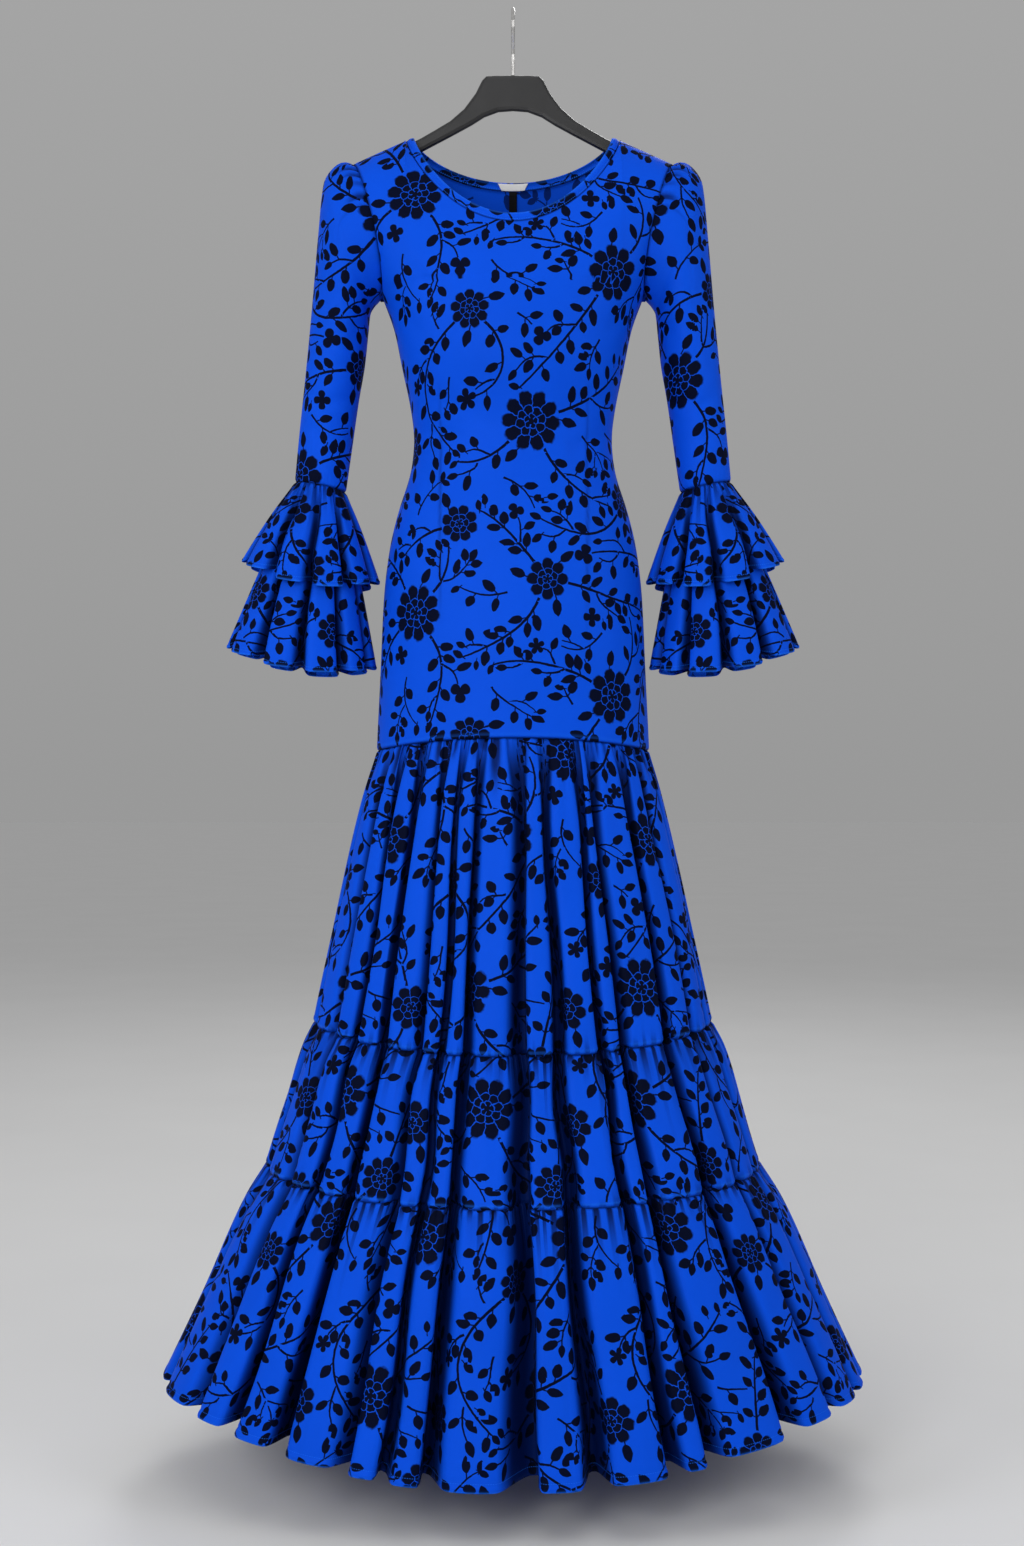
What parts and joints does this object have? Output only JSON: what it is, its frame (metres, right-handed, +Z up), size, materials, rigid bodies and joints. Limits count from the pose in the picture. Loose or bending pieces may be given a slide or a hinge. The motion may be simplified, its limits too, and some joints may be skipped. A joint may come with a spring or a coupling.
{
  "type": "flamenco dress on hanger",
  "caption": "Long-sleeved flamenco dress in printed blue crepe, fitted to the hip, with cuff ruffles and a tiered gathered skirt, hung on a black hanger.",
  "frame": {"origin": "inside top of the hanger's hook, where it bears on a rail", "axes": "+Z up, +X to the right of a viewer who faces the dress, the front of the dress towards -Y"},
  "size_m": [0.7988, 0.5185, 1.6122],
  "materials": {
    "blue_crepe": "satin-matte crepe, cobalt blue, printed with black flowers",
    "white_label": "satin weave, blank",
    "black_tape": "woven tape",
    "black_zip_metal": "satin black",
    "black_hanger": "soft matte black",
    "steel_wire": "polished wire"
  },
  "bodies": {
    "dress": {"bodice_front": "blue_crepe", "bodice_back_L": "blue_crepe", "bodice_back_R": "blue_crepe", "neck_binding": "blue_crepe", "neck_label": "white_label", "zip_tape": "black_tape", "zip_slider": "black_zip_metal", "sleeve_L": "blue_crepe", "sleeve_R": "blue_crepe", "cuff_ruffle_upper_L": "blue_crepe", "cuff_ruffle_upper_R": "blue_crepe", "cuff_ruffle_lower_L": "blue_crepe", "cuff_ruffle_lower_R": "blue_crepe", "skirt_tier_1": "blue_crepe", "skirt_tier_2": "blue_crepe", "skirt_tier_3": "blue_crepe", "hanger_body": "black_hanger", "hanger_hook": "steel_wire"},
    "pull_tab": {"zip_pull_tab": "black_zip_metal"}
  },
  "joints": [
    {"name": "pull_tab_swing", "type": "hinge", "parent": "dress", "child": "pull_tab", "pos_m": [0, 0.05704, -0.20633], "axis": [1, 0, 0], "range_deg": [0, 150]}
  ]
}
